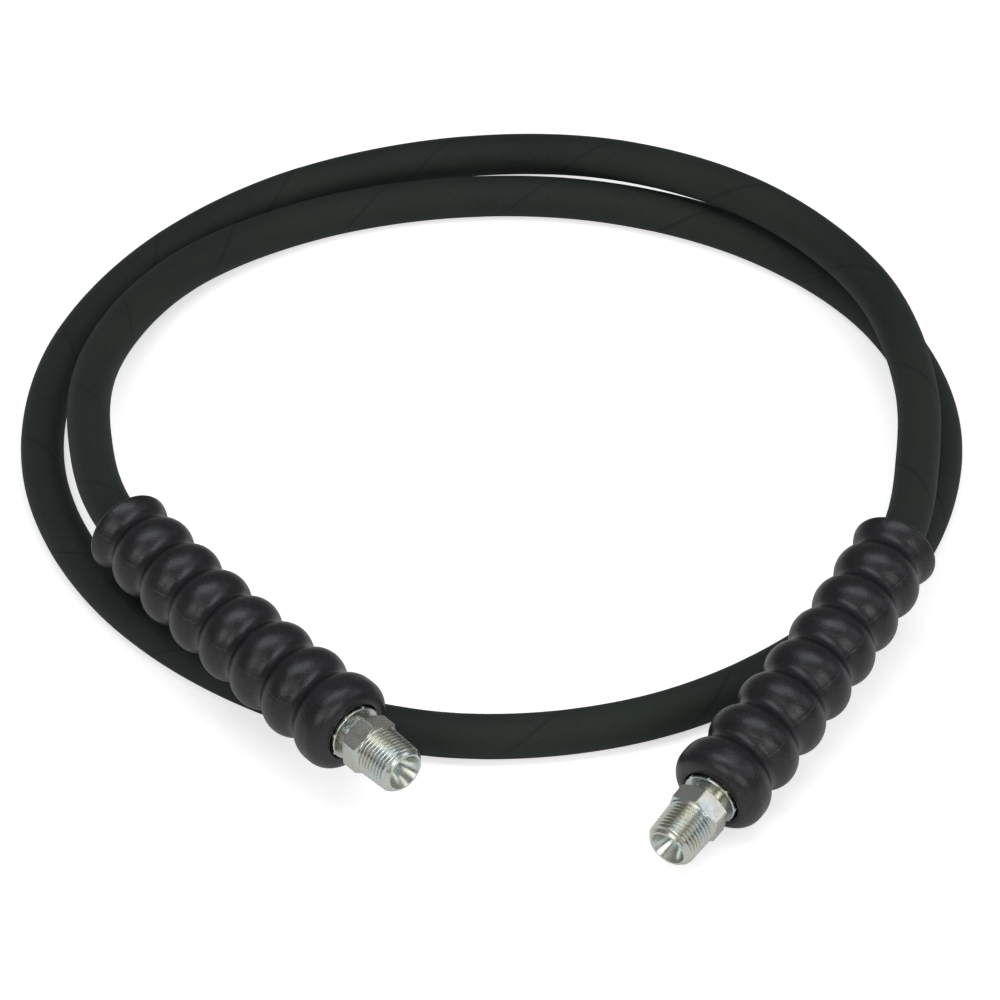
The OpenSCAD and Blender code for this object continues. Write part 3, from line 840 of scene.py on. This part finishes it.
def dress(piece, body, nodes, slot):
    """Puts a piece in place of its CAD nodes: on their body, with its material."""
    piece.data.materials.append(MATERIALS[slot])
    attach(piece, body)
    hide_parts(*nodes)


dress(cover, "hose", ["hose_cover"], "cover_rubber")
for node, piece in inner_layers.items():
    dress(piece, "hose", [node], "brassed_wire" if "wire" in node else "tube_rubber")
for end, letter in ((A, "a"), (B, "b")):
    dress(stems[end], "hose", [f"stem_{letter}"], "plated_steel")
    dress(ferrules[end], "hose", [f"ferrule_{letter}"], "plated_steel")
    dress(sleeves[end], BODY[end], [f"grip_{letter}"], "sleeve_rubber")

route = hose_line(CORD_STEPS)


# ---------------------------------------------------------------- floor, light and camera
FLOOR_SIZE = 14
FLOOR_DEPTH = 0.6 * MM          # by which the floor lies under the object
FLOOR_COLOUR = (0.8, 0.8, 0.8, 1)
FLOOR_LIFT = 0.6                # the floor's own light where the camera sees it
FLOOR_SHINE = 0.1               # and where the object mirrors it
WORLD_COLOUR = (1, 1, 1, 1)
WORLD_LIGHT = 0.3               # the world's light on the object
WORLD_SHINE = 0.22              # and where the object mirrors it
CAMERA_PLACE = (0.003005, -1.518603, 1.273791)
CAMERA_TILT = 50                # up from straight down
CAMERA_LENS, CAMERA_SENSOR = 206.64, 36     # in millimetres, as Blender takes them


def make_floor():
    """A pale floor that shows as white and keeps the object's shadow."""
    half = FLOOR_SIZE / 2
    mesh = bpy.data.meshes.new("floor")
    mesh.from_pydata(
        [(-half, -half, 0), (half, -half, 0), (half, half, 0), (-half, half, 0)], [], [(0, 1, 2, 3)]
    )
    n = Nodes(bpy.data.materials.new("pale_floor"))
    n.tree.nodes.clear()
    ray = n.node("ShaderNodeLightPath")
    mirrored = n.math("MULTIPLY", ray["Is Glossy Ray"], FLOOR_SHINE)
    level = n.math("MULTIPLY_ADD", ray["Is Camera Ray"], FLOOR_LIFT, mirrored)
    matt = n.node("ShaderNodeBsdfDiffuse", {"Color": FLOOR_COLOUR})[0]
    lift = n.node("ShaderNodeEmission", {"Strength": level})[0]
    both = n.node("ShaderNodeAddShader", {0: matt, 1: lift})[0]
    n.node("ShaderNodeOutputMaterial", {"Surface": both})
    mesh.materials.append(n.owner)
    floor = bpy.data.objects.new("floor", mesh)
    floor.location.z = -FLOOR_DEPTH
    bpy.context.scene.collection.objects.link(floor)


def make_world():
    """White where the camera looks past the floor, and a plain soft light for the object."""
    n = Nodes(bpy.data.worlds.new("studio"))
    ray = n.node("ShaderNodeLightPath")
    lit = n.math("MULTIPLY_ADD", ray["Is Glossy Ray"], WORLD_SHINE - WORLD_LIGHT, WORLD_LIGHT)
    background = n.tree.nodes["Background"]
    n.feed(background.inputs["Color"], WORLD_COLOUR)
    n.feed(background.inputs["Strength"], n.math("MAXIMUM", ray["Is Camera Ray"], lit))
    bpy.context.scene.world = n.owner


def softbox(name, place, target, size, watts, colour):
    """A rectangular lamp at a place, facing its target."""
    light = bpy.data.lights.new(name, "AREA")
    light.shape = "RECTANGLE"
    light.size, light.size_y = size
    light.energy = watts
    light.color = colour
    lamp = bpy.data.objects.new(name, light)
    lamp.location = place
    lamp.rotation_euler = (Vector(target) - Vector(place)).to_track_quat("-Z", "Y").to_euler()
    bpy.context.scene.collection.objects.link(lamp)


def make_camera():
    data = bpy.data.cameras.new("camera")
    data.lens, data.sensor_width = CAMERA_LENS, CAMERA_SENSOR
    camera = bpy.data.objects.new("camera", data)
    camera.location = CAMERA_PLACE
    camera.rotation_euler = (math.radians(CAMERA_TILT), 0, 0)
    bpy.context.scene.collection.objects.link(camera)
    bpy.context.scene.camera = camera


make_floor()
make_world()
softbox(
    "overhead_box", place=(0, -0.12, 1.2), target=(0, -0.05, 0), size=(1.3, 0.6),
    watts=6.0, colour=(0.92, 0.95, 1.0),
)
softbox(
    "front_right_box", place=(0.565, -1.325, 0.735), target=(0.1, -0.08, 0.03), size=(0.8, 0.6),
    watts=4.6, colour=(1.0, 0.99, 0.96),
)
softbox(
    "front_left_box", place=(-0.67, -1.2, 0.84), target=(-0.1, -0.08, 0.03), size=(0.7, 0.7),
    watts=4.0, colour=(1.0, 0.99, 0.96),
)
softbox(
    "right_box", place=(1.29, -0.21, 0.9), target=(0.07, -0.18, 0.02), size=(0.7, 0.7),
    watts=1.8, colour=(0.95, 0.95, 1.0),
)
make_camera()

bpy.context.scene.view_settings.view_transform = "Standard"
